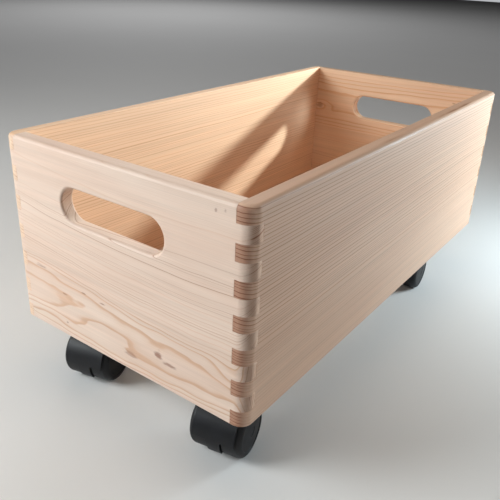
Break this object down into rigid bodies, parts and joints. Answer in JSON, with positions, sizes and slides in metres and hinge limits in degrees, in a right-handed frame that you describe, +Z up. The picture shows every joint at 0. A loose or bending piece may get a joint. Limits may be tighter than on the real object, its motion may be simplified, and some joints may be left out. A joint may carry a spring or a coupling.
{
  "type": "under bed box",
  "caption": "Long open pine box with finger jointed corners and a rounded handle slot in each end, standing on black twin wheel swivel casters.",
  "frame": {"origin": "on the floor under the middle of the box", "axes": "+Y along the length towards the rear end board, +Z up, +X to the right seen from the front end board"},
  "size_m": [0.3, 0.6, 0.282],
  "materials": {
    "pine_end_board": "untreated, sanded",
    "pine_side_board": "untreated, sanded",
    "bottom_board": "untreated plywood",
    "batten_pine": "untreated, planed",
    "zinc_plate": "zinc plated",
    "screw_steel": "zinc plated",
    "pin_steel": "bright",
    "washer_plastic": "matt",
    "hood_plastic": "satin",
    "wheel_plastic": "satin"
  },
  "bodies": {
    "box": {"front_panel": "pine_end_board", "rear_panel": "pine_end_board", "left_panel": "pine_side_board", "right_panel": "pine_side_board", "bottom_panel": "bottom_board", "front_batten": "batten_pine", "rear_batten": "batten_pine", "front_right_plate": "zinc_plate", "front_right_screws": "screw_steel", "front_right_stem": "pin_steel", "front_right_washer": "washer_plastic", "front_left_plate": "zinc_plate", "front_left_screws": "screw_steel", "front_left_stem": "pin_steel", "front_left_washer": "washer_plastic", "rear_right_plate": "zinc_plate", "rear_right_screws": "screw_steel", "rear_right_stem": "pin_steel", "rear_right_washer": "washer_plastic", "rear_left_plate": "zinc_plate", "rear_left_screws": "screw_steel", "rear_left_stem": "pin_steel", "rear_left_washer": "washer_plastic"},
    "front_right_swivel": {"front_right_hood": "hood_plastic", "front_right_axle": "pin_steel"},
    "front_right_wheel_l": {"front_right_left_wheel": "wheel_plastic"},
    "front_right_wheel_r": {"front_right_right_wheel": "wheel_plastic"},
    "front_left_swivel": {"front_left_hood": "hood_plastic", "front_left_axle": "pin_steel"},
    "front_left_wheel_l": {"front_left_left_wheel": "wheel_plastic"},
    "front_left_wheel_r": {"front_left_right_wheel": "wheel_plastic"},
    "rear_right_swivel": {"rear_right_hood": "hood_plastic", "rear_right_axle": "pin_steel"},
    "rear_right_wheel_l": {"rear_right_left_wheel": "wheel_plastic"},
    "rear_right_wheel_r": {"rear_right_right_wheel": "wheel_plastic"},
    "rear_left_swivel": {"rear_left_hood": "hood_plastic", "rear_left_axle": "pin_steel"},
    "rear_left_wheel_l": {"rear_left_left_wheel": "wheel_plastic"},
    "rear_left_wheel_r": {"rear_left_right_wheel": "wheel_plastic"}
  },
  "joints": [
    {"name": "front_right_turn", "type": "hinge", "parent": "box", "child": "front_right_swivel", "pos_m": [0.0935, -0.236, 0.0591], "axis": [0, 0, 1], "continuous": true},
    {"name": "front_right_wheel_l_spin", "type": "hinge", "parent": "front_right_swivel", "child": "front_right_wheel_l", "pos_m": [0.09693, -0.25367, 0.0275], "axis": [0.9816, 0.1908, 0], "continuous": true},
    {"name": "front_right_wheel_r_spin", "type": "hinge", "parent": "front_right_swivel", "child": "front_right_wheel_r", "pos_m": [0.09693, -0.25367, 0.0275], "axis": [0.9816, 0.1908, 0], "continuous": true},
    {"name": "front_left_turn", "type": "hinge", "parent": "box", "child": "front_left_swivel", "pos_m": [-0.0935, -0.236, 0.0591], "axis": [0, 0, 1], "continuous": true},
    {"name": "front_left_wheel_l_spin", "type": "hinge", "parent": "front_left_swivel", "child": "front_left_wheel_l", "pos_m": [-0.08884, -0.25339, 0.0275], "axis": [0.9659, 0.2588, 0], "continuous": true},
    {"name": "front_left_wheel_r_spin", "type": "hinge", "parent": "front_left_swivel", "child": "front_left_wheel_r", "pos_m": [-0.08884, -0.25339, 0.0275], "axis": [0.9659, 0.2588, 0], "continuous": true},
    {"name": "rear_right_turn", "type": "hinge", "parent": "box", "child": "rear_right_swivel", "pos_m": [0.0935, 0.202, 0.0591], "axis": [0, 0, 1], "continuous": true},
    {"name": "rear_right_wheel_l_spin", "type": "hinge", "parent": "rear_right_swivel", "child": "rear_right_wheel_l", "pos_m": [0.09476, 0.18404, 0.0275], "axis": [0.9976, 0.0698, 0], "continuous": true},
    {"name": "rear_right_wheel_r_spin", "type": "hinge", "parent": "rear_right_swivel", "child": "rear_right_wheel_r", "pos_m": [0.09476, 0.18404, 0.0275], "axis": [0.9976, 0.0698, 0], "continuous": true},
    {"name": "rear_left_turn", "type": "hinge", "parent": "box", "child": "rear_left_swivel", "pos_m": [-0.0935, 0.202, 0.0591], "axis": [0, 0, 1], "continuous": true},
    {"name": "rear_left_wheel_l_spin", "type": "hinge", "parent": "rear_left_swivel", "child": "rear_left_wheel_l", "pos_m": [-0.09068, 0.18422, 0.0275], "axis": [0.9877, 0.1564, 0], "continuous": true},
    {"name": "rear_left_wheel_r_spin", "type": "hinge", "parent": "rear_left_swivel", "child": "rear_left_wheel_r", "pos_m": [-0.09068, 0.18422, 0.0275], "axis": [0.9877, 0.1564, 0], "continuous": true}
  ]
}
